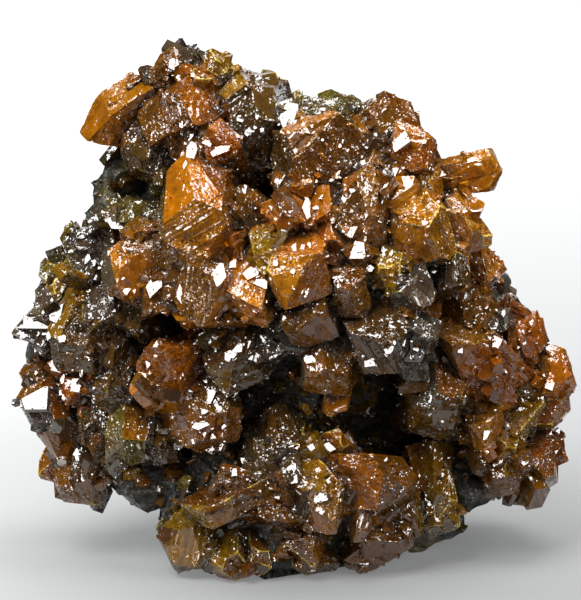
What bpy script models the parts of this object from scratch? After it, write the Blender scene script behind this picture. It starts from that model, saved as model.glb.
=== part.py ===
"""An orpiment specimen: amber and brown crystals, grown together in groups on a lump of dark rock.

Metres, +Z up, +Y away from the viewer. The origin is under the middle of the specimen, at the level of its base.
"""

import math
import random
from collections import namedtuple

import bmesh
import bpy
from mathutils import Matrix, Vector

MM = 0.001

# Driving dimensions. The specimen is about 81 mm wide, 74 mm high and 48 mm deep.
GAP = 0.3 * MM  # left between pieces that touch
EYE_DISTANCE = 520 * MM  # from the eye to the middle of the specimen
EYE_RISE = math.radians(12)  # of the eye above the horizon
MIDDLE_HEIGHT = 39.5 * MM  # of the middle of the specimen above its base
PICTURE_STEP = 0.144 * MM  # one column or row of the picture, in the plane through the middle
MIDDLE_COLUMN = 290
MIDDLE_ROW = 283

FLAT = math.radians(0.5)  # faces that meet at less than this are one face
FACE_TILT = math.radians(8)  # most that a crystal's face leans from its form's own angle
FACE_SHIFT = 0.08  # most that it grows in or out, as a share of its distance from the middle
CORNERS = [(1, 0.75), (1, -0.75), (-1, 0.75), (-1, -0.75)]  # ways out of a prism's four corners
REACH = 60 * MM  # half the side of the cube that a solid is cut from

# A crystal's place is where the eye sees its head: the column and row in the picture, and how many millimetres it is
# behind the middle.
# points is the way that its tip points as seen, in degrees (0 right, 90 up), and rise how far that is towards the eye.
# Then come its length, width and thickness in millimetres, its turn about its own axis in degrees, and how many
# smaller crystals have grown beside it in parallel.
Crystal = namedtuple("Crystal", "form column row depth points rise length width thick turn young")

GROUPS = {
    "amber_wedge": [
        Crystal("chisel", 111, 123, -4, 208, 26, 10, 6.6, 6.4, 80, 0),
    ],
    "upper_left_crystals": [
        Crystal("slant", 172, 114, -7, 200, 56, 12, 7.6, 6.4, 30, 1),
        Crystal("block", 190, 59, 0, 95, 15, 9, 2.9, 2.6, 20, 0),
        Crystal("dome", 170, 69, -2, 110, 35, 9, 4, 3.8, 0, 0),
        Crystal("block", 186, 72, -3, 80, 45, 8, 2.6, 2.6, 35, 0),
        Crystal("point", 197, 82, -5, 70, 50, 8, 2.8, 2.8, 35, 0),
        Crystal("dome", 213, 68, -1, 80, 40, 9, 3.8, 3.6, 0, 1),
        Crystal("point", 226, 74, 0, 60, 35, 8, 3, 3, 10, 0),
        Crystal("block", 138, 90, -2, 130, 30, 8, 3.8, 3.4, 0, 0),
        Crystal("block", 156, 84, -3, 100, 40, 8, 3.2, 3, 10, 0),
        Crystal("dome", 150, 152, -5, 215, 45, 10, 7, 6.6, 0, 0),
        Crystal("chisel", 170, 168, -5, 245, 40, 11, 5.6, 4.8, 40, 0),
        Crystal("block", 132, 132, -3, 190, 40, 8, 4, 3.6, 15, 0),
        Crystal("slant", 192, 138, -8, 235, 50, 12, 4.4, 7.2, 65, 0),
        Crystal("point", 222, 146, -12, 95, 42, 13, 5.4, 5.2, 20, 1),
        Crystal("dome", 255, 120, -7, 80, 74, 10, 8, 9.6, 10, 1),
        Crystal("block", 262, 154, -5, 280, 66, 9, 4.6, 4.6, 25, 0),
    ],
    "upper_right_crystals": [
        Crystal("slant", 316, 148, -12, 138, 22, 17, 11.4, 8, 90, 0),
        Crystal("block", 344, 140, -10, 138, 14, 14, 4.4, 6, 90, 0),
        Crystal("block", 358, 150, -9, 138, 10, 12, 3, 4.4, 90, 0),
        Crystal("slant", 291, 116, -9, 104, 30, 12, 2.8, 5, 20, 0),
        Crystal("dome", 302, 186, -13, 250, 50, 13, 6.4, 6, 15, 0),
        Crystal("dome", 388, 134, -5, 62, 46, 14, 8.4, 8, 0, 1),
        Crystal("slant", 411, 152, -10, 100, 58, 13, 5.8, 5.8, 250, 0),
        Crystal("block", 420, 144, -6, 60, 30, 10, 3.4, 3.2, 0, 0),
        Crystal("block", 478, 171, -5, 13, 10, 17, 5.4, 5, 85, 0),
        Crystal("chisel", 458, 184, -6, 8, 20, 12, 3.4, 3.4, 20, 0),
        Crystal("block", 334, 107, -3, 90, 20, 9, 4, 3.4, 10, 1),
        Crystal("block", 352, 108, -2, 80, 20, 8, 2.6, 2.6, 0, 0),
        Crystal("block", 372, 172, -13, 300, 50, 10, 4.2, 3.6, 50, 0),
        Crystal("slant", 394, 176, -13, 280, 60, 9, 2.8, 2.8, 10, 0),
        Crystal("point", 424, 180, -9, 330, 45, 12, 4.6, 4.2, 0, 0),
    ],
    "middle_crystals": [
        Crystal("dome", 198, 214, -14, 105, 50, 16, 10.4, 10.8, 10, 0),
        Crystal("chisel", 143, 238, -11, 172, 24, 13, 5.8, 5, 85, 0),
        Crystal("dome", 132, 270, -12, 190, 42, 13, 7.4, 7, 0, 0),
        Crystal("slant", 166, 288, -14, 205, 48, 13, 5.8, 5.4, 20, 0),
        Crystal("slant", 206, 284, -18, 235, 62, 15, 7.6, 7, 60, 0),
        Crystal("chisel", 251, 292, -19, 300, 55, 14, 8, 7, 30, 1),
        Crystal("plate", 212, 314, -16, 262, 35, 13, 13, 3.4, 5, 0),
        Crystal("slant", 240, 214, -13, 85, 55, 14, 6, 5.6, 100, 0),
        Crystal("chisel", 228, 242, -16, 110, 62, 13, 5.4, 5, 80, 0),
        Crystal("slant", 285, 217, -17, 60, 58, 14, 5.8, 5.4, 10, 0),
        Crystal("block", 264, 248, -20, 120, 66, 13, 3.4, 6, 20, 0),
        Crystal("slant", 300, 270, -21, 275, 68, 15, 8.4, 7, 15, 1),
        Crystal("chisel", 330, 244, -18, 25, 60, 13, 5.8, 5.8, 50, 0),
        Crystal("chisel", 325, 206, -16, 80, 58, 13, 5.8, 5.4, 0, 0),
        Crystal("dome", 362, 208, -17, 105, 65, 15, 6.6, 9.4, 0, 0),
        Crystal("block", 357, 252, -19, 30, 60, 12, 4.6, 4, 30, 0),
        Crystal("block", 415, 228, -14.5, 335, 68, 16, 8.6, 9.4, 20, 0),
        Crystal("chisel", 462, 236, -10, 352, 14, 13, 7.6, 5.2, 90, 0),
        Crystal("block", 452, 211, -8, 20, 22, 11, 4.2, 4, 70, 0),
        Crystal("block", 408, 288, -17, 300, 72, 13, 6, 5.6, 30, 0),
        Crystal("dome", 386, 270, -17, 250, 60, 13, 5, 6, 0, 0),
        Crystal("dome", 444, 272, -12, 335, 55, 13, 6, 6, 0, 0),
        Crystal("block", 349, 290, -19.5, 285, 66, 14, 4.6, 8.4, 8, 0),
        Crystal("slant", 308, 316, -19, 265, 52, 14, 7.4, 6, 20, 0),
        Crystal("plate", 279, 345, -17, 300, 40, 12, 6.6, 3, 60, 0),
        Crystal("chisel", 234, 362, -15, 250, 48, 14, 8.2, 7, 20, 1),
        Crystal("dome", 328, 364, -15, 262, 45, 14, 7.6, 7.2, 0, 1),
        Crystal("block", 378, 336, -17, 300, 60, 15, 8.6, 8.4, 15, 0),
        Crystal("slant", 406, 316, -16, 320, 52, 13, 6, 5.4, 40, 0),
        Crystal("dome", 410, 344, -14, 312, 45, 13, 5.6, 5, 0, 0),
        Crystal("slant", 337, 394, -13, 275, 42, 10, 4, 3.8, 0, 0),
    ],
    "left_crystals": [
        Crystal("slant", 46, 328, -4, 158, 44, 13, 5.4, 5, 350, 0),
        Crystal("block", 60, 314, -3, 120, 35, 9, 3.6, 3.2, 0, 0),
        Crystal("dome", 76, 347, -8, 235, 55, 13, 7.2, 6.4, 0, 0),
        Crystal("block", 40, 374, -3, 195, 36, 10, 4.6, 4.2, 20, 0),
        Crystal("block", 46, 401, -6, 200, 52, 13, 6, 5.8, 20, 0),
        Crystal("slant", 77, 384, -8, 260, 60, 11, 4.6, 4, 0, 0),
        Crystal("chisel", 60, 432, -5, 222, 42, 13, 6.8, 5.6, 20, 0),
        Crystal("point", 49, 468, -2, 235, 22, 9, 3, 2.8, 0, 0),
        Crystal("dome", 82, 480, -5, 250, 40, 13, 6.4, 6, 0, 1),
        Crystal("block", 103, 466, -5, 305, 40, 11, 4, 3.8, 20, 0),
        Crystal("dome", 126, 440, -9, 275, 55, 13, 7, 6.8, 0, 0),
        Crystal("slant", 94, 426, -8, 265, 60, 12, 3.8, 6.6, 0, 0),
        Crystal("dome", 110, 390, -8, 265, 62, 12, 5.8, 6, 0, 0),
        Crystal("chisel", 112, 352, -8, 270, 50, 12, 5.6, 5, 30, 0),
        Crystal("slant", 100, 318, -8, 260, 50, 11, 5.4, 4.8, 0, 0),
        Crystal("chisel", 172, 366, -12.5, 118, 42, 16, 9.4, 8, 80, 0),
        Crystal("block", 150, 392, -12, 222, 28, 13, 3.6, 5, 10, 1),
        Crystal("dome", 208, 418, -12, 315, 50, 14, 7.8, 7.8, 0, 1),
        Crystal("block", 160, 440, -9, 275, 68, 11, 4.4, 5.8, 15, 0),
        Crystal("chisel", 138, 322, -9, 280, 50, 11, 5, 4.6, 30, 0),
    ],
    "left_edge_crystals": [
        Crystal("block", 140, 217, -5, 148, 44, 10, 5, 4.6, 0, 1),
        Crystal("block", 119, 220, -3, 170, 44, 10, 4.8, 4.4, 30, 0),
        Crystal("dome", 88, 266, -4, 160, 52, 11, 6, 5.4, 0, 0),
        Crystal("block", 52, 272, -1, 160, 28, 9, 3.6, 3, 0, 0),
        Crystal("block", 60, 292, -3, 186, 12, 11, 3.2, 3.2, 20, 0),
        Crystal("point", 76, 240, 0, 165, 18, 8, 3.4, 3, 0, 0),
        Crystal("slant", 101, 243, -4, 150, 50, 10, 5.6, 5.2, 20, 0),
    ],
    "lower_crystals": [
        Crystal("chisel", 237, 484, -16, 100, 48, 13, 6.4, 6, 75, 1),
        Crystal("dome", 280, 444, -12, 85, 55, 14, 6.6, 8.4, 0, 1),
        Crystal("slant", 286, 484, -15, 60, 58, 12, 5.6, 5, 20, 0),
        Crystal("block", 312, 448, -13, 105, 20, 9, 2.4, 2.4, 0, 0),
        Crystal("slant", 336, 442, -13, 62, 20, 10, 2.8, 4, 0, 0),
        Crystal("chisel", 380, 486, -15, 2, 30, 17, 8.8, 8, 85, 1),
        Crystal("slant", 322, 498, -18, 325, 42, 13, 7, 5, 30, 1),
        Crystal("plate", 205, 510, -17, 205, 30, 14, 13, 3.4, 10, 0),
        Crystal("plate", 284, 514, -18.5, 275, 30, 12, 9, 3, 350, 0),
        Crystal("block", 190, 542, -14, 205, 40, 13, 7.2, 6.6, 15, 0),
        Crystal("block", 230, 556, -16, 260, 50, 12, 5.6, 5, 30, 0),
        Crystal("plate", 256, 560, -17, 280, 52, 10, 4.6, 2.8, 70, 0),
        Crystal("chisel", 304, 544, -16, 290, 55, 12, 5.6, 5, 30, 0),
        Crystal("plate", 318, 562, -14, 300, 26, 11, 7.4, 2.4, 10, 0),
        Crystal("block", 378, 530, -12, 320, 44, 15, 8.8, 7.8, 20, 1),
        Crystal("slant", 398, 506, -12, 350, 36, 13, 7, 6, 40, 0),
        Crystal("block", 356, 556, -13, 280, 40, 12, 3.4, 3.2, 40, 0),
    ],
    "golden_shards": [
        Crystal("block", 438, 502, -9, 290, 46, 11, 4.8, 4.4, 20, 0),
        Crystal("plate", 430, 518, -10, 275, 30, 12, 4.6, 2.6, 50, 0),
        Crystal("plate", 446, 521, -9, 285, 30, 12, 4, 2.4, 80, 0),
    ],
    "right_crystals": [
        Crystal("block", 479, 270, -5, 60, 36, 14, 5.4, 5.8, 20, 0),
        Crystal("block", 509, 308, -2, 20, 16, 10, 3, 2.8, 10, 0),
        Crystal("dome", 470, 310, -7, 62, 46, 14, 7.4, 5.6, 0, 0),
        Crystal("block", 520, 338, -4, 18, 44, 13, 5.6, 5.6, 20, 1),
        Crystal("slant", 500, 320, -6, 30, 50, 10, 3.8, 3.4, 0, 0),
        Crystal("chisel", 460, 350, -10, 135, 46, 16, 10, 7.6, 60, 1),
        Crystal("slant", 488, 366, -9, 320, 50, 12, 5, 4.6, 0, 0),
        Crystal("dome", 548, 374, -3, 18, 40, 13, 5.8, 5.6, 0, 0),
        Crystal("dome", 564, 384, -1, 8, 20, 9, 2.6, 2.8, 0, 0),
        Crystal("dome", 550, 406, -3, 350, 34, 11, 4.6, 4.4, 0, 0),
        Crystal("dome", 434, 404, -12, 262, 60, 14, 8.2, 7.4, 0, 1),
        Crystal("slant", 483, 420, -8, 300, 54, 13, 5.8, 5.2, 20, 0),
        Crystal("block", 502, 446, -7, 330, 44, 10, 4, 4, 0, 0),
        Crystal("plate", 522, 416, -5, 318, 40, 11, 8, 3.2, 45, 0),
        Crystal("slant", 536, 462, -3, 330, 38, 12, 6.6, 6, 20, 0),
        Crystal("block", 552, 446, -1, 345, 20, 9, 3, 2.8, 0, 1),
        Crystal("dome", 500, 474, -6, 280, 50, 12, 5.8, 5.4, 0, 1),
        Crystal("block", 524, 492, -2, 300, 30, 10, 4, 3, 0, 0),
    ],
}

# A rock's place is read in the same way. Then come its half width, half depth and half height in millimetres.
Rock = namedtuple("Rock", "column row depth half_width half_depth half_height")

ROCKS = [
    Rock(292, 312, 7, 26, 15, 23),
    Rock(195, 152, 6, 12, 11, 11),
    Rock(248, 98, 3, 4.4, 6, 3.6),
    Rock(284, 122, 4, 6, 7, 3.8),
    Rock(362, 156, 6, 8.6, 11, 7),
    Rock(112, 330, 5, 10, 11, 13),
    Rock(125, 428, 4, 9, 9, 8),
    Rock(448, 332, 6, 9, 12, 12),
    Rock(480, 436, 4, 10, 10, 8),
    Rock(290, 492, 1, 18, 16, 12),
    Rock(150, 478, -3, 7, 7, 4),
    Rock(188, 500, -3, 4.4, 7, 8),
    Rock(408, 500, 2, 5, 9, 8),
    Rock(118, 172, 0, 2.6, 4, 3.6),
    Rock(128, 150, 1, 3, 4, 3),
    Rock(110, 196, 1, 3, 5, 3.6),
    Rock(104, 226, 1, 3.6, 5, 3.4),
    Rock(150, 204, 4, 6, 6, 6),
    Rock(460, 484, 0, 7, 8, 3),
    Rock(382, 424, 10, 12, 7, 12),
    Rock(300, 300, 14, 21, 9, 21),
]
ROCK_FACES = 14
BASE_LIFT = 0.0  # height of the flat that the rock stands on


def eye_place():
    """Where the eye is, and the point that it looks at."""
    middle = Vector((0, 0, MIDDLE_HEIGHT))
    back = Vector((0, -math.cos(EYE_RISE), math.sin(EYE_RISE)))
    return middle + back * EYE_DISTANCE, middle


def seen_at(column, row, depth):
    """The point at this depth that the eye sees at this place in the picture."""
    eye, middle = eye_place()
    upward = Vector((0, math.sin(EYE_RISE), math.cos(EYE_RISE)))
    across = Vector(((column - MIDDLE_COLUMN) * PICTURE_STEP, 0, 0))
    in_plane = middle + across + upward * (MIDDLE_ROW - row) * PICTURE_STEP
    share = (depth * MM - eye.y) / (in_plane.y - eye.y)
    return eye + (in_plane - eye) * share


def form_faces(form, wide, thick, tip, chance):
    """A form's faces as (normal, distance), with its axis along z: wide and thick are half sizes, tip the height."""

    def face(x, y, z, share=1.0):
        normal = Vector((x, y, z)).normalized()
        corner = abs(normal.x) * wide + abs(normal.y) * thick + normal.z * tip
        return normal, corner * share

    sides = [face(1, 0, 0), face(-1, 0, 0), face(0, 1, 0), face(0, -1, 0)]
    bevels = [face(x, y, chance.uniform(0, 0.3), 0.82) for x, y in chance.sample(CORNERS, 2)]
    bevels.append(face(chance.uniform(-1, 1), chance.uniform(-1, 1), 1, 0.76))
    tops = {
        "chisel": [face(1, 0, 0.72, 0.56), face(-1, 0, 0.72, 0.56), face(0, 1, 0.5, 0.8), face(0, -1, 0.5, 0.8)],
        "slant": [face(0.7, 0.15, 1, 0.62), face(-1, 0.2, 0.5, 0.8), face(0, 1, 0.6, 0.78), face(0.1, -1, 0.6, 0.84)],
        "block": [face(0.6, 0.1, 1, 0.72), face(-0.5, -0.1, 1, 0.76), face(0.1, 1, 0.6, 0.8), face(-0.1, -1, 0.7, 0.78)],
        "point": [face(1, 0.3, 0.6, 0.6), face(-0.8, 0.6, 0.7, 0.6), face(-0.4, -1, 0.6, 0.6), face(0.2, 0.1, 1, 0.9)],
        "plate": [face(0, 0, 1, 0.94), face(1, 0, 0.8, 0.8), face(-1, 0, 1, 0.76), face(0, 1, 0.5, 0.9)],
    }
    if form == "dome":
        around = [math.tau * k / 6 for k in range(6)]
        low = [face(math.cos(a), math.sin(a), 0.3, 0.8) for a in around]
        high = [face(math.cos(a + 0.6), math.sin(a + 0.6), 1.3, 0.74) for a in around[::2]]
        return low + high + [face(0.3, 0.2, 1, 0.82), face(-0.4, chance.uniform(-0.2, 0.2), 1, 0.8)]
    return sides + bevels + tops[form]


def cut_solid(faces):
    """The solid inside all these faces, cut from a cube."""
    solid = bmesh.new()
    bmesh.ops.create_cube(solid, size=2 * REACH)
    for normal, distance in faces:
        everything = [*solid.verts, *solid.edges, *solid.faces]
        cut = bmesh.ops.bisect_plane(
            solid, geom=everything, dist=1e-8, plane_co=normal * distance, plane_no=normal, clear_outer=True
        )
        rim = [part for part in cut["geom_cut"] if isinstance(part, bmesh.types.BMEdge)]
        bmesh.ops.holes_fill(solid, edges=rim)
    bmesh.ops.recalc_face_normals(solid, faces=solid.faces)
    return solid


def varied(faces, chance):
    """The same faces, each a little off its form's own angle and distance."""
    for normal, distance in faces:
        lean = Vector([chance.uniform(-1, 1) * math.tan(FACE_TILT) for _ in range(3)])
        yield (normal + lean).normalized(), distance * (1 + chance.uniform(-FACE_SHIFT, FACE_SHIFT))


def crystal_solid(crystal, chance, swell=0.0):
    """A crystal in its own frame: its head's middle at the origin, its tip along z. swell moves every face out."""
    wide, thick = crystal.width / 2 * MM, crystal.thick / 2 * MM
    tip = min(wide, thick) * 1.1
    faces = list(varied(form_faces(crystal.form, wide, thick, tip, chance), chance))
    faces.append((Vector((0, 0, -1)), crystal.length * MM - tip))
    return cut_solid([(normal, distance + swell) for normal, distance in faces])


def crystal_frame(crystal):
    """The matrix that puts a crystal in its place."""
    points, rise = math.radians(crystal.points), math.radians(crystal.rise)
    axis = Vector((math.cos(points) * math.cos(rise), -math.sin(rise), math.sin(points) * math.cos(rise)))
    turn = axis.to_track_quat("Z", "Y").to_matrix() @ Matrix.Rotation(math.radians(crystal.turn), 3, "Z")
    return Matrix.Translation(seen_at(crystal.column, crystal.row, crystal.depth)) @ turn.to_4x4()


def with_young(crystal, frame, chance):
    """The crystal and the smaller ones beside it, as (crystal, frame)."""
    yield crystal, frame
    for number in range(crystal.young):
        size = chance.uniform(0.42, 0.62)
        young = crystal._replace(
            form=chance.choice(["chisel", "slant", "block"]),
            width=crystal.width * size,
            thick=crystal.thick * size * chance.uniform(0.9, 1.2),
            length=crystal.length * 0.8,
        )
        around = math.tau * (number + chance.random() * 0.7) / crystal.young
        aside = Vector((math.cos(around) * crystal.width, math.sin(around) * crystal.thick, 0)) * 0.42 * MM
        aside.z = -chance.uniform(0.02, 0.3) * crystal.width * MM
        lean = Matrix.Rotation(chance.uniform(-0.2, 0.2), 4, "X") @ Matrix.Rotation(chance.uniform(-0.2, 0.2), 4, "Y")
        yield young, frame @ Matrix.Translation(aside) @ lean


def rock_solid(rock, chance, swell=0.0):
    """A rounded, many-faced lump of rock about the origin."""
    halves = Vector((rock.half_width, rock.half_depth, rock.half_height)) * MM
    golden = math.pi * (3 - math.sqrt(5))
    faces = []
    for number in range(ROCK_FACES):
        height = 1 - 2 * (number + 0.5) / ROCK_FACES
        ring = math.sqrt(1 - height * height)
        around = golden * number + chance.uniform(-0.35, 0.35)
        normal = Vector((math.cos(around) * ring, math.sin(around) * ring, height + chance.uniform(-0.2, 0.2)))
        normal.normalize()
        distance = Vector([half * part for half, part in zip(halves, normal)]).length
        faces.append((normal, distance * chance.uniform(0.84, 0.98) + swell))
    return cut_solid(faces)


def as_object(name, solid, frame=None):
    """A solid as an object in the scene."""
    if frame is not None:
        solid.transform(frame)
    mesh = bpy.data.meshes.new(name)
    solid.to_mesh(mesh)
    solid.free()
    made = bpy.data.objects.new(name, mesh)
    bpy.context.scene.collection.objects.link(made)
    return made


def remove(objects):
    for unwanted in list(objects):
        bpy.data.objects.remove(unwanted)


def box_of(made):
    """The corners of the box round an object's mesh."""
    places = [made.matrix_world @ vertex.co for vertex in made.data.vertices]
    return [(min(p[k] for p in places), max(p[k] for p in places)) for k in range(3)]


def touches(one, other):
    """Whether the boxes round two objects meet."""
    return all(a[0] <= b[1] and b[0] <= a[1] for a, b in zip(box_of(one), box_of(other)))


def boolean(target, operation, others):
    """Joins others to the target, or cuts them from it, and removes them."""
    if operation == "DIFFERENCE":
        near = [other for other in others if touches(target, other)]
        remove(other for other in others if other not in near)
        others = near
    if not others:
        return
    tools = bpy.data.collections.new("tools")
    bpy.context.scene.collection.children.link(tools)
    for other in others:
        tools.objects.link(other)
    modifier = target.modifiers.new(operation.title(), "BOOLEAN")
    modifier.operation = operation
    modifier.operand_type = "COLLECTION"
    modifier.collection = tools
    modifier.solver = "EXACT"
    bpy.context.view_layer.update()
    evaluated = target.evaluated_get(bpy.context.evaluated_depsgraph_get())
    target.data = bpy.data.meshes.new_from_object(evaluated)
    target.modifiers.clear()
    remove(others)
    bpy.data.collections.remove(tools)


def island_of(start):
    """The vertices that are joined to this one."""
    found, waiting = {start}, [start]
    while waiting:
        for edge in waiting.pop().link_edges:
            for vertex in edge.verts:
                if vertex not in found:
                    found.add(vertex)
                    waiting.append(vertex)
    return found


def keep_outer_skin(made):
    """Drops the crumbs and the sealed pockets that joining many solids leaves."""
    skin = bmesh.new()
    skin.from_mesh(made.data)
    bmesh.ops.remove_doubles(skin, verts=skin.verts, dist=1e-6)
    left, islands = set(skin.verts), []
    while left:
        island = island_of(next(iter(left)))
        left -= island
        islands.append(island)
    islands.sort(key=size_of, reverse=True)
    for crumb in islands[1:]:
        middle = sum((v.co for v in crumb), Vector()) / len(crumb) / MM
        print(f"{made.name}: dropped a piece {size_of(crumb) / MM:.1f} mm across at {middle}")
        bmesh.ops.delete(skin, geom=list(crumb), context="VERTS")
    bmesh.ops.dissolve_limit(skin, angle_limit=FLAT, verts=skin.verts, edges=skin.edges)
    skin.to_mesh(made.data)
    skin.free()


def size_of(vertices):
    """The diagonal of the box round these vertices."""
    spans = [max(v.co[k] for v in vertices) - min(v.co[k] for v in vertices) for k in range(3)]
    return Vector(spans).length


def rock_objects(swell=0.0):
    chance = random.Random("rock")
    return [
        as_object(f"rock_{number}", rock_solid(rock, chance, swell), Matrix.Translation(seen_at(rock.column, rock.row, rock.depth)))
        for number, rock in enumerate(ROCKS)
    ]


def crystal_objects(group, swell=0.0):
    """A group's crystals, each an object of its own."""
    made = []
    for number, crystal in enumerate(GROUPS[group]):
        chance = random.Random(f"{group} {number}")
        for member, frame in with_young(crystal, crystal_frame(crystal), chance):
            made.append(as_object(f"crystal_{len(made)}", crystal_solid(member, chance, swell), frame))
    return made


def floor_cutter():
    """A slab below the level of the base."""
    slab = bmesh.new()
    bmesh.ops.create_cube(slab, size=1)
    slab.transform(Matrix.Translation((0, 0, BASE_LIFT - 0.05)) @ Matrix.Diagonal((0.3, 0.3, 0.1, 1)))
    return as_object("floor_cutter", slab)


def joined(name, members):
    """One object of all the members."""
    whole, *others = members
    whole.name = whole.data.name = name
    boolean(whole, "UNION", others)
    return whole


def material(name, colour, roughness):
    made = bpy.data.materials.new(name)
    made.use_nodes = True
    shader = made.node_tree.nodes["Principled BSDF"]
    shader.inputs["Base Color"].default_value = (*colour, 1)
    shader.inputs["Roughness"].default_value = roughness
    return made


def build():
    remove(bpy.data.objects)
    rock = joined("matrix", rock_objects())
    boolean(rock, "DIFFERENCE", [floor_cutter()])
    keep_outer_skin(rock)
    rock.data.materials.clear()
    rock.data.materials.append(material("dark_rock", (0.03, 0.032, 0.03), 0.6))
    nodes = [rock]
    for number, group in enumerate(GROUPS):
        made = joined(group, crystal_objects(group))
        cutters = rock_objects(GAP) + [floor_cutter()]
        for earlier in list(GROUPS)[:number]:
            cutters += crystal_objects(earlier, GAP)
        boolean(made, "DIFFERENCE", cutters)
        keep_outer_skin(made)
        made.data.materials.clear()
        made.data.materials.append(material(group, (0.3, 0.1, 0.02), 0.2))
        nodes.append(made)
    return nodes


build()
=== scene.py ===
"""Looks for the orpiment specimen: amber and brown crystals with stepped, etched faces on dark rock.

Metres, +Z up, +Y away from the viewer.
"""

import math

import bmesh
import bpy
import numpy as np
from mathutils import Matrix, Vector
from mathutils.bvhtree import BVHTree

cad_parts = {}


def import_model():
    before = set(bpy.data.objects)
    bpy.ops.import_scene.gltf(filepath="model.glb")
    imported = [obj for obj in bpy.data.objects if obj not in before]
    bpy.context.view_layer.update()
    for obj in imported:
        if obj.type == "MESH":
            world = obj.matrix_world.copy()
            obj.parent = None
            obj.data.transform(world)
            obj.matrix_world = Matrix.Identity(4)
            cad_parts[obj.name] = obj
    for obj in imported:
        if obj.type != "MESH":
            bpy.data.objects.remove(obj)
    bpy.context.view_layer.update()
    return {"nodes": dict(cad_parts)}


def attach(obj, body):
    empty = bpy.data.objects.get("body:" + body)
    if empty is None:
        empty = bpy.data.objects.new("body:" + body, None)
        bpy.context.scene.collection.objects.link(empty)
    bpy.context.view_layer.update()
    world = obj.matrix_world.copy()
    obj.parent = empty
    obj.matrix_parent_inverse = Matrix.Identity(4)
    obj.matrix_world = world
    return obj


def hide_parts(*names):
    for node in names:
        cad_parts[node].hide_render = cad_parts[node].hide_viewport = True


MM = 0.001

# The camera: where the photograph's eye is.
EYE_DISTANCE = 520 * MM
EYE_RISE = math.radians(12)
MIDDLE = Vector((0, 0, 39.5 * MM))
PICTURE_STEP = 0.144 * MM  # one column or row of the picture, in the plane through the middle
MIDDLE_COLUMN = 290
MIDDLE_ROW = 283
PICTURE_HEIGHT = 600
SENSOR = 36

CRYSTAL_EDGE = 0.5 * MM  # longest edge of the fine meshes
ROCK_EDGE = 0.8 * MM
FLAT = math.cos(math.radians(1.5))  # triangles that meet at less than this angle are one facet

# The specimen's front is roughly a dome. Its depths are in millimetres.
DOME_NEAREST = -20
DOME_FALL = 18  # from the dome's middle to its rim
DOME_RADIUS = 270  # in columns and rows
DOME_ROW = MIDDLE_ROW + 10

# Painted shade: how much darker the crystals are painted near the base and near the top, where less light
# falls on them, and the heights in millimetres.
LOW_PAINTED_SHADE = 0.40
LOW_START = 30
LOW_FADE = 20
HIGH_PAINTED_SHADE = 0.28
HIGH_START = 56
HIGH_FADE = 12
DEPTH_WEIGHT = 0.4  # of the depth, when the nearest listed place is sought

# The steps and blocks on the crystals' faces. Heights and widths are in millimetres.
STEP_HEIGHTS = (0.02, 0.09)
STEP_STRETCH = (2.0, 5.0)
SMOOTH_SHARE = 0.22  # of the faces
BLOCK_HEIGHTS = (0.25, 0.60)
BLOCK_WIDTHS = (1.3, 2.6)
BLOCKY_SHARE = 0.75
STRIPED_SHARE = 0.10

# Small crystals to a square millimetre.
SEAM_CROWD = 0.09
FACE_CROWD = 0.05
ROCK_CRYSTALS = 1500  # in all

# How shut in a point is, measured with a few rays.
SHADE_REACH = 7 * MM
SHADE_RAYS = 5
RAY_RISE = 0.75
RAY_SPREAD = 0.66

# The two grain colours are factors of the crystal's tone.
DARK_GRAIN = (0.30, 0.26, 0.30, 1)
LIGHT_GRAIN = (0.75, 0.85, 1.2, 1)
POWDER = (0.80, 0.58, 0.02, 1)
# The colour of the painted shade in sharp hollows.
HOLLOW_PAINTED_SHADE = (0.026, 0.020, 0.014, 1)
SHADE = (0.044, 0.033, 0.022, 1)
ROCK_DARK = (0.022, 0.022, 0.019, 1)
ROCK_PALE = (0.10, 0.094, 0.078, 1)
ROCK_STAIN = (0.20, 0.15, 0.03, 1)
PAPER_NEAR = (0.20, 0.205, 0.205, 1)
PAPER_FAR = (0.62, 0.63, 0.63, 1)
PAPER_OUTSIDE = (0.02, 0.02, 0.02, 1)
ROOM = (0.75, 0.78, 0.8, 1)

# The clear orpiment's index of refraction, and its absorption to a metre.
REFRACTION = 2.0
ABSORBED = (0.97, 0.72, 0.05, 1)
ABSORPTION = 420.0

KEY_PLACE = (-0.20, -0.30, 0.50)
# Each light's name, place, target, size and power.
LIGHTS = [
    ("key", KEY_PLACE, MIDDLE, (0.33, 0.30), 3.0),
    ("left", (-0.52, -0.22, 0.14), MIDDLE, (0.16, 0.26), 1.3),
    ("right", (0.42, -0.30, 0.30), MIDDLE, (0.16, 0.22), 1.0),
    ("top", (0.08, 0.02, 0.56), MIDDLE, (0.32, 0.16), 1.4),
    ("front", (0.10, -0.50, 0.22), MIDDLE, (0.30, 0.30), 0.18),
    ("backdrop_light", (0, 0.10, 1.0), (0, 0.42, 0.3), (1.2, 0.3), 7),
]

TONES = {
    "amber": (0.90, 0.305, 0.006),
    "orange": (0.98, 0.29, 0.004),
    "rust": (0.74, 0.19, 0.004),
    "brown": (0.48, 0.165, 0.008),
    "umber": (0.19, 0.085, 0.012),
    "golden": (0.72, 0.33, 0.008),
    "olive": (0.30, 0.20, 0.02),
    "grey": (0.16, 0.11, 0.055),
}
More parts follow.
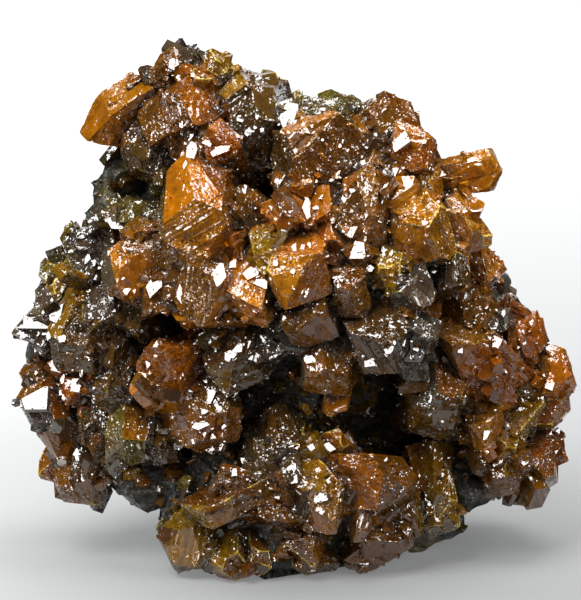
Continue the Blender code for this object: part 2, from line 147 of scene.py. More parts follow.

# The tone of the crystals round each place. Places were picked as column and row in the picture.
TONE_PLACES = [
    (112, 114, "amber"), (178, 528, "umber"), (176, 548, "umber"), (170, 70, "brown"),
    (190, 55, "grey"), (198, 82, "orange"), (216, 68, "golden"), (172, 114, "brown"),
    (150, 152, "umber"), (192, 138, "brown"), (222, 146, "rust"), (254, 116, "umber"),
    (262, 154, "umber"), (316, 148, "amber"), (345, 140, "amber"), (302, 186, "orange"),
    (388, 130, "brown"), (411, 152, "orange"), (478, 170, "amber"), (340, 107, "olive"),
    (372, 172, "brown"), (424, 180, "amber"), (198, 214, "orange"), (143, 238, "brown"),
    (132, 270, "amber"), (166, 288, "brown"), (206, 284, "brown"), (251, 292, "amber"),
    (212, 314, "amber"), (240, 214, "brown"), (228, 242, "orange"), (285, 217, "orange"),
    (264, 248, "golden"), (300, 270, "amber"), (330, 244, "rust"), (362, 208, "brown"),
    (357, 252, "brown"), (415, 228, "amber"), (462, 236, "amber"), (408, 288, "grey"),
    (386, 270, "golden"), (444, 272, "umber"), (349, 290, "brown"), (308, 316, "brown"),
    (279, 345, "grey"), (234, 362, "umber"), (328, 364, "brown"), (378, 336, "umber"),
    (406, 316, "brown"), (410, 344, "grey"), (46, 328, "grey"), (76, 347, "umber"),
    (40, 374, "brown"), (46, 401, "grey"), (77, 384, "rust"), (60, 432, "brown"),
    (49, 468, "orange"), (82, 480, "brown"), (126, 440, "olive"), (94, 426, "umber"),
    (110, 390, "umber"), (112, 352, "umber"), (172, 366, "rust"), (150, 392, "amber"),
    (208, 418, "brown"), (160, 440, "umber"), (138, 322, "umber"), (143, 214, "olive"),
    (118, 212, "olive"), (88, 266, "grey"), (52, 272, "olive"), (60, 292, "golden"),
    (237, 484, "brown"), (280, 444, "umber"), (286, 484, "brown"), (312, 448, "golden"),
    (336, 442, "orange"), (380, 486, "brown"), (322, 498, "amber"), (205, 510, "golden"),
    (284, 514, "brown"), (190, 542, "umber"), (230, 556, "brown"), (304, 544, "brown"),
    (318, 562, "golden"), (378, 530, "brown"), (439, 505, "golden"), (479, 270, "orange"),
    (509, 308, "grey"), (470, 310, "brown"), (520, 338, "rust"), (460, 350, "brown"),
    (488, 366, "rust"), (548, 374, "orange"), (550, 406, "rust"), (434, 404, "umber"),
    (483, 420, "amber"), (522, 416, "golden"), (536, 462, "brown"), (552, 446, "rust"),
    (500, 474, "brown"), (524, 492, "olive"),
]

# Where stripes cross the crystals' faces: column, row, and how many columns they reach.
STRIPE_PLACES = [
    (350, 132, 26), (455, 236, 30), (176, 222, 22), (280, 348, 16), (186, 70, 12), (255, 562, 16),
    (152, 480, 30), (205, 470, 16), (410, 300, 14), (120, 165, 14), (440, 535, 12), (205, 285, 14),
    (500, 270, 14),
]

# Flat faces that catch the key light: column, row, and half width and half height in millimetres.
BRIGHT_PLACES = [
    (36, 326, 2.4, 2.1), (57, 316, 1.4, 1.9), (40, 400, 2.7, 2.4), (76, 385, 0.9, 1.6),
    (155, 288, 1.2, 2.1), (220, 276, 1.3, 1.9), (252, 272, 1.4, 1.4), (290, 118, 1.4, 3.4),
    (298, 98, 1.2, 1.4), (401, 141, 1.5, 2.0), (394, 176, 0.9, 1.2), (351, 231, 1.0, 1.3),
    (356, 252, 1.9, 1.4), (336, 405, 1.7, 1.5), (220, 150, 1.4, 1.8), (206, 128, 1.0, 1.8),
    (192, 152, 0.9, 1.5), (236, 350, 1.1, 1.3), (304, 210, 1.2, 2.0), (370, 362, 1.2, 1.0),
    (200, 425, 1.4, 1.0), (330, 446, 1.2, 1.0), (126, 290, 0.8, 0.9), (172, 65, 0.8, 1.0),
    (180, 296, 0.6, 2.2), (440, 262, 0.9, 0.7), (262, 284, 1.2, 1.0), (98, 268, 1.0, 0.8),
    (470, 196, 0.8, 1.0), (336, 176, 1.0, 0.7),
]

# Small flat faces that catch the key light: column, row, their reach in columns, and their number.
GLINT_PLACES = [
    (192, 138, 18, 16), (86, 268, 22, 16), (210, 420, 28, 16), (394, 350, 14, 9),
    (345, 170, 40, 24), (298, 122, 14, 14), (182, 68, 16, 6), (252, 120, 18, 10), (40, 330, 20, 18),
    (42, 400, 20, 16), (420, 180, 32, 14), (250, 300, 50, 22), (300, 268, 40, 14),
    (502, 330, 30, 9), (470, 300, 30, 8), (150, 370, 24, 8), (330, 474, 44, 9), (236, 480, 24, 6),
    (482, 412, 44, 12), (542, 384, 24, 9), (236, 344, 22, 10), (372, 390, 30, 8), (70, 380, 20, 8),
    (120, 300, 24, 8),
]

# Where yellow powder lies on the edges: column, row, and how many columns it reaches.
POWDER_PLACES = [
    (216, 68, 16), (434, 218, 18), (470, 240, 18), (18, 405, 14), (43, 451, 16), (60, 292, 18),
    (262, 540, 40), (215, 525, 20), (445, 510, 26), (492, 438, 12), (522, 418, 26), (526, 496, 18),
    (312, 448, 14), (340, 436, 14), (270, 262, 12), (118, 180, 14), (386, 270, 14), (300, 560, 26),
]


def picture_point(column, row, depth):
    """The point at this depth in millimetres that the eye sees at this place in the picture."""
    eye = eye_place()
    upward = Vector((0, math.sin(EYE_RISE), math.cos(EYE_RISE)))
    across = Vector(((column - MIDDLE_COLUMN) * PICTURE_STEP, 0, 0))
    in_plane = MIDDLE + across + upward * (MIDDLE_ROW - row) * PICTURE_STEP
    return eye + (in_plane - eye) * (depth * MM - eye.y) / (in_plane.y - eye.y)


def eye_place():
    return MIDDLE + Vector((0, -math.cos(EYE_RISE), math.sin(EYE_RISE))) * EYE_DISTANCE


def front_depth(column, row):
    """Roughly how deep the specimen's front is at this place, in millimetres."""
    away = ((column - MIDDLE_COLUMN) / DOME_RADIUS) ** 2 + ((row - DOME_ROW) / DOME_RADIUS) ** 2
    return DOME_NEAREST + DOME_FALL * away


def lattice_value(cells, seed):
    """A fixed random number from 0 to 1 for each lattice point."""
    mixed = cells[:, 0] * 374761393 + cells[:, 1] * 668265263
    mixed = mixed + cells[:, 2] * 2147483647 + seed * 1274126177
    mixed = (mixed ^ (mixed >> 13)) * 1274126177
    mixed = (mixed ^ (mixed >> 16)) & 0xFFFFFF
    return mixed / 0xFFFFFF


def smooth_noise(points, seed=0):
    """Smooth random numbers from 0 to 1 at these points, about one wave to a unit."""
    base = np.floor(points).astype(np.int64)
    part = points - base
    part = part * part * (3 - 2 * part)
    total = np.zeros(len(points))
    for corner in np.ndindex(2, 2, 2):
        weight = np.ones(len(points))
        for k in range(3):
            weight *= part[:, k] if corner[k] else 1 - part[:, k]
        total += weight * lattice_value(base + np.array(corner), seed)
    return total


def fractal_noise(points, seed=0, octaves=3):
    total, size, span = 0, 1.0, 0
    for number in range(octaves):
        total = total + size * smooth_noise(points * 2**number, seed + number * 17)
        span += size
        size *= 0.5
    return total / span


def block_steps(places, seed):
    """The height at each place on tilted blocks about one unit wide with random edges."""
    base = np.floor(places[:, :2]).astype(np.int64)
    group = np.floor(places[:, 2]).astype(np.int64)
    best = np.full(len(places), np.inf)
    height = np.zeros(len(places))
    for over in (-1, 0, 1):
        for up in (-1, 0, 1):
            cells = np.stack([base[:, 0] + over, base[:, 1] + up, group], 1)
            across = places[:, 0] - cells[:, 0] - lattice_value(cells, seed)
            along = places[:, 1] - cells[:, 1] - lattice_value(cells, seed + 1)
            away = across**2 + along**2
            nearer = away < best
            level = lattice_value(cells, seed + 2) - 0.5
            level = level + across * (lattice_value(cells, seed + 3) - 0.5) * 0.7
            level = level + along * (lattice_value(cells, seed + 4) - 0.5) * 0.7
            height = np.where(nearer, level, height)
            best = np.where(nearer, away, best)
    return height


def mark_facets(grown):
    """Numbers the flat facets of a mesh in a face layer, and returns how many there are."""
    layer = grown.faces.layers.int.new("facet")
    for face in grown.faces:
        face[layer] = -1
    count = 0
    for start in sorted(grown.faces, key=lambda face: -face.calc_area()):
        if start[layer] >= 0:
            continue
        start[layer] = count
        waiting = [start]
        while waiting:
            for edge in waiting.pop().edges:
                for other in edge.link_faces:
                    if other[layer] < 0 and other.normal.dot(start.normal) > FLAT:
                        other[layer] = count
                        waiting.append(other)
        count += 1
    return count


def refine(grown, longest):
    """Splits the edges until none is longer than this."""
    for number in range(7):
        long_edges = [edge for edge in grown.edges if edge.calc_length() > longest]
        if not long_edges:
            break
        bmesh.ops.subdivide_edges(grown, edges=long_edges, cuts=1)
        bmesh.ops.triangulate(grown, faces=[face for face in grown.faces if len(face.verts) > 3])
        if number in (1, 3):
            even_out(grown)
    even_out(grown)


def even_out(grown):
    """Turns the edges inside the facets where that makes the triangles more even."""
    layer = grown.faces.layers.int["facet"]
    inner = [
        edge
        for edge in grown.edges
        if len(edge.link_faces) == 2 and edge.link_faces[0][layer] == edge.link_faces[1][layer]
    ]
    bmesh.ops.beautify_fill(grown, faces=grown.faces, edges=inner, method="ANGLE")


class Facets:
    """A mesh in arrays, with the flat facets that it is made of."""

    def __init__(self, points, triangles, facets):
        self.points = points
        self.triangles = triangles
        self.facets = facets
        self.facet_count = int(facets.max()) + 1
        self.measure_facets()

    def measure_facets(self):
        """Each facet's normal, area, middle and longest direction."""
        corners = self.points[self.triangles]
        cross = np.cross(corners[:, 1] - corners[:, 0], corners[:, 2] - corners[:, 0])
        self.areas = np.linalg.norm(cross, axis=1) / 2
        count = self.facet_count
        self.facet_areas = np.bincount(self.facets, self.areas, count)
        self.normals = np.stack([np.bincount(self.facets, cross[:, k], count) for k in range(3)], 1)
        self.normals /= np.linalg.norm(self.normals, axis=1)[:, None] + 1e-12
        middles = corners.mean(1)
        weights = self.areas
        weighted = middles * weights[:, None]
        self.middles = np.stack([np.bincount(self.facets, weighted[:, k], count) for k in range(3)], 1)
        self.middles /= self.facet_areas[:, None] + 1e-18
        self.along = np.zeros((count, 3))
        offsets = middles - self.middles[self.facets]
        spread = np.zeros((count, 3, 3))
        squares = offsets[:, :, None] * offsets[:, None, :]
        np.add.at(spread, self.facets, squares * weights[:, None, None])
        for number in range(count):
            vectors = np.linalg.eigh(spread[number])[1]
            along = vectors[:, 2]
            along = along - self.normals[number] * along.dot(self.normals[number])
            self.along[number] = along / (np.linalg.norm(along) + 1e-12)
        self.across = np.cross(self.normals, self.along)

    def ridges_and_hollows(self):
        """How much each vertex is on a sharp ridge between facets, and in a sharp hollow, from 0 to 1."""
        edges = np.concatenate([self.triangles[:, ends] for ends in ([0, 1], [1, 2], [2, 0])])
        edges.sort(axis=1)
        owners = np.tile(np.arange(len(self.triangles)), 3)
        order = np.lexsort((edges[:, 1], edges[:, 0]))
        edges = edges[order]
        owners = owners[order]
        shared = np.all(edges[1:] == edges[:-1], axis=1)
        first = owners[:-1][shared]
        second = owners[1:][shared]
        ends = edges[1:][shared]
        first_normals = self.normals[self.facets[first]]
        second_normals = self.normals[self.facets[second]]
        turned = np.clip((1 - (first_normals * second_normals).sum(1)) / 0.3, 0, 1)
        middles = self.points[self.triangles].mean(1)
        rise = ((middles[second] - middles[first]) * first_normals).sum(1)
        ridges = np.zeros(len(self.points))
        hollows = np.zeros(len(self.points))
        np.maximum.at(ridges, ends.ravel(), np.repeat(np.where(rise < 0, turned, 0), 2))
        np.maximum.at(hollows, ends.ravel(), np.repeat(np.where(rise > 0, turned, 0), 2))
        return ridges, hollows

    def in_facet(self, points, facets):
        """Points as (along, across, height) in their facets' own frames, in millimetres."""
        offsets = (points - self.middles[facets]) / MM
        frames = (self.along, self.across, self.normals)
        return np.stack([np.einsum("ij,ij->i", offsets, axes[facets]) for axes in frames], 1)

    def push(self, height_of):
        """Moves each vertex along its facets' normals by height_of(places, facets), in millimetres."""
        pairs = np.stack([self.triangles.ravel(), np.repeat(self.facets, 3)], 1)
        pairs = np.unique(pairs, axis=0)
        heights = height_of(self.in_facet(self.points[pairs[:, 0]], pairs[:, 1]), pairs[:, 1])
        moves = self.normals[pairs[:, 1]] * heights[:, None] * MM
        count = len(self.points)
        shared = np.bincount(pairs[:, 0], minlength=count)
        total = np.stack([np.bincount(pairs[:, 0], moves[:, k], count) for k in range(3)], 1)
        self.points = self.points + total / shared[:, None]


def as_facets(grown):
    """A bmesh whose facets are marked, as arrays."""
    layer = grown.faces.layers.int["facet"]
    grown.verts.index_update()
    points = np.array([vertex.co for vertex in grown.verts])
    triangles = np.array([[vertex.index for vertex in face.verts] for face in grown.faces])
    facets = np.array([face[layer] for face in grown.faces])
    return Facets(points, triangles, facets)


def vertex_normals(fine):
    """The mean of the facets' normals at each vertex."""
    total = np.zeros((len(fine.points), 3))
    for corner in range(3):
        np.add.at(total, fine.triangles[:, corner], fine.normals[fine.facets])
    return total / (np.linalg.norm(total, axis=1)[:, None] + 1e-9)


def seams_of(grown):
    """Where facets meet in a hollow: each seam's two ends and the way out of it."""
    seams = []
    for edge in grown.edges:
        if len(edge.link_faces) == 2 and not edge.is_convex and edge.calc_face_angle(0) > 0.3:
            outward = edge.link_faces[0].normal + edge.link_faces[1].normal
            seams.append((*edge.verts[0].co, *edge.verts[1].co, *outward.normalized()))
    return np.array(seams).reshape(-1, 9)


def fine_copy(node, longest):
    """A node's mesh with short edges, as facets, and its seams."""
    grown = bmesh.new()
    grown.from_mesh(node.data)
    bmesh.ops.remove_doubles(grown, verts=grown.verts, dist=1e-6)
    mark_facets(grown)
    seams = seams_of(grown)
    refine(grown, longest)
    fine = as_facets(grown)
    grown.free()
    return fine, seams


def to_object(name, points, triangles):
    mesh = bpy.data.meshes.new(name)
    mesh.from_pydata(points.tolist(), [], triangles.tolist())
    mesh.update()
    made = bpy.data.objects.new(name, mesh)
    bpy.context.scene.collection.objects.link(made)
    return made


def store(mesh, name, kind, domain, values):
    """Keeps values on a mesh as an attribute that its material can read."""
    attribute = mesh.attributes.new(name, kind, domain)
    field = {"FLOAT": "value", "FLOAT_VECTOR": "vector", "FLOAT_COLOR": "color"}[kind]
    attribute.data.foreach_set(field, np.ascontiguousarray(values, dtype=np.float32).ravel())


def tones_and_painted_shade_at(points, chance):
    """The tone of the crystals at each of these points, a little varied, and darkened with painted shade
    near the base and the top.
    """
    places = np.array([picture_point(c, r, front_depth(c, r)) for c, r, _ in TONE_PLACES])
    colours = np.array([TONES[name] for _, _, name in TONE_PLACES])
    away = (points[:, None, :] - places[None]) * np.array([1, DEPTH_WEIGHT, 1])
    nearest = np.argmin((away**2).sum(2), 1)
    height = points[:, 2:] / MM
    low = np.clip((LOW_START - height) / LOW_FADE, 0, 1)
    high = np.clip((height - HIGH_START) / HIGH_FADE, 0, 1)
    # Painted shade: the colour is made darker near the base and near the top.
    lit = 1 - LOW_PAINTED_SHADE * low - HIGH_PAINTED_SHADE * high
    tones = colours[nearest] * chance.uniform(0.75, 1.25, (len(points), 1)) * lit
    return tones * chance.uniform(0.92, 1.08, (len(points), 3))


def powder_at(points):
    """How much yellow powder there is on the edges at each of these points, from 0 to 1."""
    patch = fractal_noise(points / MM / 7, 51)
    amount = np.clip((patch - 0.66) * 8, 0, 1)
    return np.maximum(amount, near_places(points, POWDER_PLACES))


def near_places(points, places):
    """How near each point is to the listed places, from 0 to 1."""
    near = np.zeros(len(points))
    for column, row, reach in places:
        middle = np.array(picture_point(column, row, front_depth(column, row)))
        away = np.linalg.norm((points - middle) * np.array([1, 0.5, 1]), axis=1)
        near = np.maximum(near, np.clip(2 - away / (reach * PICTURE_STEP), 0, 1))
    return near


def all_solids(nodes):
    """A search tree of all the part's solids."""
    points, faces = [], []
    for node in nodes:
        first = len(points)
        points += [vertex.co.copy() for vertex in node.data.vertices]
        faces += [[first + number for number in face.vertices] for face in node.data.polygons]
    return BVHTree.FromPolygons(points, faces)


def shade_at(tree, points, normals):
    """How shut in each point is by the crystals round it, from 0 to 1."""
    side = np.cross(normals, np.array([0.31, 0.87, 0.38]))
    side /= np.linalg.norm(side, axis=1)[:, None] + 1e-9
    other = np.cross(normals, side)
    total = np.zeros(len(points))
    for turn in range(SHADE_RAYS):
        angle = turn * 2 * math.pi / SHADE_RAYS
        ways = normals * RAY_RISE + (side * math.cos(angle) + other * math.sin(angle)) * RAY_SPREAD
        starts = points + normals * 0.25 * MM
        for number, (start, way) in enumerate(zip(starts.tolist(), ways.tolist())):
            distance = tree.ray_cast(start, way, SHADE_REACH)[3]
            if distance is not None:
                total[number] += 1 - distance / SHADE_REACH
    return total / SHADE_RAYS


def crystal_heights(fine, chance):
    """The growth steps on a crystal's facets, as a function for push, and how polished each facet is."""
    count = fine.facet_count
    steps = chance.uniform(*STEP_HEIGHTS, count) * np.clip(fine.facet_areas / (8 * MM * MM), 0.2, 1)
    smooth = chance.random(count) < SMOOTH_SHARE
    steps[smooth] = 0
    shift = chance.uniform(0, 50, (count, 3))
    stretch = chance.uniform(*STEP_STRETCH, count)
    blocks = chance.uniform(*BLOCK_HEIGHTS, count) * (chance.random(count) < BLOCKY_SHARE)
    blocks *= np.clip(fine.facet_areas / (10 * MM * MM), 0.25, 1)
    widths = chance.uniform(*BLOCK_WIDTHS, count)
    polish = np.where(smooth, 1.0, chance.uniform(0.0, 0.55, count))

    def heights(places, facets):
        flat = np.zeros(len(facets))
        waves = places * np.stack([0.5 / stretch[facets], flat + 0.7, flat], 1)
        level = fractal_noise(waves + shift[facets], 3) * 7
        stepped = np.floor(level) + np.clip((level - np.floor(level)) * 4 - 1.5, 0, 1)
        turned = places / widths[facets][:, None] * np.array([0.6, 1.0, 0.0])
        turned[:, 2] = facets + 0.5
        return (stepped - 3.5) * steps[facets] + block_steps(turned, 23) * blocks[facets]

    return heights, polish


def faceted_object(name, fine, flat_points, tones, polish, striped):
    """The object of a faceted mesh, with all that the crystal material reads from it."""
    made = to_object(name, fine.points, fine.triangles)
    corners = fine.triangles.ravel()
    places = fine.in_facet(flat_points[corners], np.repeat(fine.facets, 3))
    places[:, 2] = np.repeat(fine.facets, 3) * 7.31
    store(made.data, "place", "FLOAT_VECTOR", "CORNER", places)
    colours = np.concatenate([tones, np.ones((len(tones), 1))], 1)[fine.facets]
    store(made.data, "tone", "FLOAT_COLOR", "FACE", colours)
    store(made.data, "polish", "FLOAT", "FACE", polish[fine.facets])
    store(made.data, "across", "FLOAT_VECTOR", "FACE", fine.across[fine.facets])
    store(made.data, "striped", "FLOAT", "FACE", striped[fine.facets])
    return made


def grow_crystals(node, seed, tree):
    """A crystal group's fine mesh, stepped and coloured, and its seams."""
    fine, seams = fine_copy(node, CRYSTAL_EDGE)
    chance = np.random.default_rng(seed)
    ridges, hollows = fine.ridges_and_hollows()
    flat_points = fine.points.copy()
    heights, polish = crystal_heights(fine, chance)
    fine.push(heights)
    striped = (chance.random(fine.facet_count) < STRIPED_SHARE).astype(float)
    striped = np.maximum(striped, near_places(fine.middles, STRIPE_PLACES) > 0.5)
    tones = tones_and_painted_shade_at(fine.middles, chance)
    made = faceted_object(f"{node.name}_look", fine, flat_points, tones, polish, striped)
    store(made.data, "ridge", "FLOAT", "POINT", ridges)
    store(made.data, "hollow", "FLOAT", "POINT", hollows)
    store(made.data, "powder", "FLOAT", "POINT", powder_at(fine.points))
    store(made.data, "shade", "FLOAT", "POINT", shade_at(tree, flat_points, vertex_normals(fine)))
    return made, fine, seams


def form_faces(form, wide, thick, tip):
    """A form's faces as (normal, distance), with its axis along z. Wide and thick are half sizes."""

    def face(x, y, z, share=1.0):
        normal = Vector((x, y, z)).normalized()
        corner = abs(normal.x) * wide + abs(normal.y) * thick + normal.z * tip
        return normal, corner * share

    sides = [face(1, 0, 0), face(-1, 0, 0), face(0, 1, 0), face(0, -1, 0), face(1, 0.8, 0, 0.84)]
    tops = {
        "chisel": [face(1, 0, 0.72, 0.56), face(-1, 0, 0.72, 0.56), face(0, 1, 0.5, 0.8)],
        "slant": [face(0.7, 0.15, 1, 0.62), face(-1, 0.2, 0.5, 0.8), face(0, 1, 0.6, 0.78)],
        "block": [face(0.6, 0.1, 1, 0.72), face(-0.5, -0.1, 1, 0.76), face(0.1, 1, 0.6, 0.8)],
        "point": [face(1, 0.3, 0.6, 0.6), face(-0.8, 0.6, 0.7, 0.6), face(-0.4, -1, 0.6, 0.6)],
    }
    return sides + tops[form] + [(Vector((0, 0, -1)), 2 * tip)]


def small_form(form, wide, thick, tip):
    """A small crystal's mesh about its head, as facets."""
    grown = bmesh.new()
    bmesh.ops.create_cube(grown, size=8)
    for normal, distance in form_faces(form, wide, thick, tip):
        everything = [*grown.verts, *grown.edges, *grown.faces]
        plane = {"plane_co": normal * distance, "plane_no": normal}
        cut = bmesh.ops.bisect_plane(grown, geom=everything, dist=1e-6, clear_outer=True, **plane)
        rim = [edge for edge in cut["geom_cut"] if isinstance(edge, bmesh.types.BMEdge)]
        bmesh.ops.holes_fill(grown, edges=rim)
    bmesh.ops.recalc_face_normals(grown, faces=grown.faces)
    bmesh.ops.triangulate(grown, faces=grown.faces)
    mark_facets(grown)
    small = as_facets(grown)
    grown.free()
    return small


def small_forms():
    return [
        small_form("chisel", 0.5, 0.4, 0.6),
        small_form("chisel", 0.5, 0.28, 0.5),
        small_form("slant", 0.5, 0.42, 0.6),
        small_form("slant", 0.5, 0.3, 0.9),
        small_form("point", 0.5, 0.3, 0.6),
        small_form("block", 0.5, 0.25, 0.7),
        small_form("point", 0.5, 0.45, 0.8),
    ]


def frames_round(axes, chance, lean):
    """A random frame for each axis, with its z within lean of the axis."""
    axes = axes + chance.normal(0, lean, axes.shape)
    axes /= np.linalg.norm(axes, axis=1)[:, None]
    other = np.cross(axes, chance.normal(0, 1, axes.shape))
    other /= np.linalg.norm(other, axis=1)[:, None]
    return np.stack([other, np.cross(axes, other), axes], 2)


def crowd(forms, places, frames, sizes, chance):
    """Small crystals at these places as one set of facets, with the number of the crystal of each facet."""
    points, triangles, facets, owners = [], [], [], []
    point_count = facet_count = 0
    for number, (place, turn, size) in enumerate(zip(places, frames, sizes)):
        form = forms[chance.integers(len(forms))]
        stretch = chance.uniform(0.75, 1.3, 3)
        points.append((form.points * stretch * size) @ turn.T + place)
        triangles.append(form.triangles + point_count)
        facets.append(form.facets + facet_count)
        owners += [number] * form.facet_count
        point_count += len(form.points)
        facet_count += form.facet_count
    fine = Facets(np.concatenate(points), np.concatenate(triangles), np.concatenate(facets))
    return fine, np.array(owners)


def along_seams(seams, count, chance):
    """Random places along the seams, and the way out of each."""
    lengths = np.linalg.norm(seams[:, 3:6] - seams[:, :3], axis=1)
    chosen = chance.choice(len(seams), count, p=lengths / lengths.sum())
    share = chance.random((count, 1))
    places = seams[chosen, :3] * (1 - share) + seams[chosen, 3:6] * share
    return places, seams[chosen, 6:]


def over_facets(fine, count, chance, weights):
    """Random places on the mesh, and the facets that they are on."""
    weights = fine.areas * weights
    chosen = chance.choice(len(fine.triangles), count, p=weights / weights.sum())
    shares = chance.dirichlet((1, 1, 1), count)
    places = np.einsum("ij,ijk->ik", shares, fine.points[fine.triangles[chosen]])
    return places, fine.facets[chosen]


def random_sizes(chance, usual, spread, limits, count):
    """Random sizes in metres, from a usual size and limits in millimetres."""
    return chance.lognormal(math.log(usual), spread, count).clip(*limits) * MM


def grow_small(name, fine, seams, forms, seed, tree):
    """The small crystals in a group's seams and on its faces."""
    chance = np.random.default_rng(seed + 100)
    area = fine.areas.sum() / MM**2
    in_seams, outward = along_seams(seams, int(area * SEAM_CROWD), chance)
    sizes = random_sizes(chance, 1.5, 0.42, (0.5, 3.4), len(in_seams))
    sizes[(in_seams[:, 2] > 58 * MM) & (outward[:, 1] > -0.5)] *= 0.55
    frames = frames_round(outward, chance, 0.45)
    patch = fractal_noise(fine.points[fine.triangles[:, 0]] / MM / 4, seed + 3)
    crowded = np.clip(patch - 0.45, 0, 1) ** 2 + 1e-4
    on_faces, facets = over_facets(fine, int(area * FACE_CROWD), chance, crowded)
    small_sizes = random_sizes(chance, 0.7, 0.4, (0.3, 1.6), len(on_faces))
    own = np.stack([fine.along[facets], fine.across[facets], fine.normals[facets]], 2)
    tilt = chance.normal(0, 0.10, own.shape)
    own = np.linalg.qr(own + tilt)[0]
    own *= np.sign(np.einsum("ij,ij->i", own[:, :, 2], fine.normals[facets]))[:, None, None]
    places = np.concatenate([in_seams, on_faces])
    sizes = np.concatenate([sizes, small_sizes])
    frames = np.concatenate([frames, own])
    places = places - frames[:, :, 2] * (sizes * chance.uniform(-0.15, 0.35, len(sizes)))[:, None]
    crystals, owners = crowd(forms, places, frames, sizes, chance)
    tones = tones_and_painted_shade_at(places, chance)[owners]
    polish = chance.choice([0.2, 0.6, 1.0], len(places))[owners]
    striped = (chance.random(crystals.facet_count) < 0.2).astype(float)
    made = faceted_object(f"{name}_small", crystals, crystals.points, tones, polish, striped)
    shade = shade_at(tree, places + frames[:, :, 2] * (sizes * 0.4)[:, None], frames[:, :, 2])
    store(made.data, "shade", "FLOAT", "FACE", shade[owners][crystals.facets])
    return made


def grow_rock(node):
    """The host rock's fine mesh, lumpy and ledged above its flat base."""
    fine = fine_copy(node, ROCK_EDGE)[0]
    base = fine.points[:, 2].min()

    def heights(places, facets):
        points = places_to_world(fine, places, facets) / MM
        lumps = fractal_noise(points / 5, 5, 4) - 0.5
        ledge = fractal_noise(points * np.array([0.2, 0.2, 0.9]), 9, 3) * 6
        ledge = (np.floor(ledge) + np.clip((ledge - np.floor(ledge)) * 3 - 1, 0, 1)) / 6 - 0.5
        return np.where(points[:, 2] < 0.4, 0, lumps * 1.6 + ledge * 1.2 - 0.5)

    fine.push(heights)
    fine.points[:, 2] = np.maximum(fine.points[:, 2], base)
    fine.measure_facets()
    made = to_object("matrix_look", fine.points, fine.triangles)
    return made, fine


def plate_form(chance):
    """A low crystal with one broad flat face, as facets, about its middle."""
    sides = chance.integers(5, 8)
    even = np.arange(sides) / sides * 2 * math.pi * 0.95
    angles = np.sort(chance.uniform(0, 2 * math.pi, sides) * 0.35 + even)
    rims = chance.uniform(0.75, 1.1, sides)
    grown = bmesh.new()
    rings = []
    for height, width in ((-0.9, 0.75), (-0.22, 1.08), (0.0, 0.98)):
        reaches = rims * width
        ring = [(math.cos(a) * r, math.sin(a) * r, height) for a, r in zip(angles, reaches)]
        rings.append([grown.verts.new(corner) for corner in ring])
    for low, high in zip(rings, rings[1:]):
        for k in range(sides):
            after = (k + 1) % sides
            grown.faces.new((low[k], low[after], high[after], high[k]))
    grown.faces.new(rings[-1])
    grown.faces.new(rings[0][::-1])
    bmesh.ops.triangulate(grown, faces=grown.faces)
    grown.normal_update()
    mark_facets(grown)
    plate = as_facets(grown)
    grown.free()
    return plate


def glints(chance):
    """The place and half sizes of each small face round the glint places."""
    found = []
    for column, row, reach, count in GLINT_PLACES:
        for _ in range(count):
            aside, above = chance.normal(0, 0.55 * reach, 2)
            half_width = float(np.clip(chance.lognormal(math.log(0.38), 0.4), 0.2, 0.9))
            half_height = half_width * chance.uniform(0.6, 1.8)
            found.append((column + aside, row + above, half_width, half_height))
    return found


def grow_bright_plates(tree):
    """Crystals at the listed places whose broad faces look halfway between the eye and the key light."""
    chance = np.random.default_rng(5)
    to_eye = (eye_place() - MIDDLE).normalized()
    to_key = (Vector(KEY_PLACE) - MIDDLE).normalized()
    facing = (to_eye + to_key).normalized()
    points, triangles, facets = [], [], []
    point_count = facet_count = 0
    tones = []
    for column, row, half_width, half_height in BRIGHT_PLACES + glints(chance):
        aim = picture_point(column, row, 0)
        way = (aim - eye_place()).normalized()
        place = tree.ray_cast(eye_place(), way)[0]
        if place is None:
            continue
        lean = Vector(chance.normal(0, 0.035, 3).tolist())
        up = (facing + lean).normalized()
        across = up.cross(Vector((0, 0, 1))).normalized()
        turn = np.array([across, up.cross(across), up]).T
        form = plate_form(chance)
        size = np.array([half_width, half_height, (half_width + half_height) / 2]) * MM
        middle = np.array(place) + np.array(up) * 0.3 * size[2]
        points.append((form.points * size) @ turn.T + middle)
        triangles.append(form.triangles + point_count)
        facets.append(form.facets + facet_count)
        tone = tones_and_painted_shade_at(np.array([place]), chance)[0]
        tones += [tone] * form.facet_count
        point_count += len(form.points)
        facet_count += form.facet_count
    fine = Facets(np.concatenate(points), np.concatenate(triangles), np.concatenate(facets))
    polish = np.full(facet_count, 2.0)
    striped = np.zeros(facet_count)
    return faceted_object("bright_plates", fine, fine.points, np.array(tones), polish, striped)


def grow_on_rock(fine, forms):
    """Small dull crystals over the front and sides of the rock."""
    chance = np.random.default_rng(77)
    middles = fine.points[fine.triangles].mean(1)
    patch = fractal_noise(middles / MM / 5, 31)
    front = np.clip(0.2 - fine.normals[fine.facets][:, 1], 0, 1) + 0.03
    raised = middles[:, 2] > 2.5 * MM
    crowded = front * raised * np.clip(patch - 0.4, 0, 1)
    places, facets = over_facets(fine, ROCK_CRYSTALS, chance, crowded)
    sizes = random_sizes(chance, 1.2, 0.42, (0.4, 2.2), len(places))
    frames = frames_round(fine.normals[facets], chance, 0.4)
    places = places - frames[:, :, 2] * (sizes * chance.uniform(0.0, 0.45, len(sizes)))[:, None]
    crystals, owners = crowd(forms, places, frames, sizes, chance)
    shares = {"umber": 0.4, "olive": 0.2, "brown": 0.2, "grey": 0.12, "golden": 0.08}
    names = chance.choice(list(shares), len(places), p=list(shares.values()))
    tones = np.array([TONES[name] for name in names]) * chance.uniform(0.6, 1.1, (len(places), 1))
    polish = chance.choice([0.0, 0.5, 1.0], len(places))[owners]
    striped = (chance.random(crystals.facet_count) < 0.3).astype(float)
    return faceted_object("matrix_small", crystals, crystals.points, tones[owners], polish, striped)


def places_to_world(fine, places, facets):
    offsets = (
        fine.along[facets] * places[:, :1]
        + fine.across[facets] * places[:, 1:2]
        + fine.normals[facets] * places[:, 2:]
    )
    return fine.middles[facets] + offsets * MM


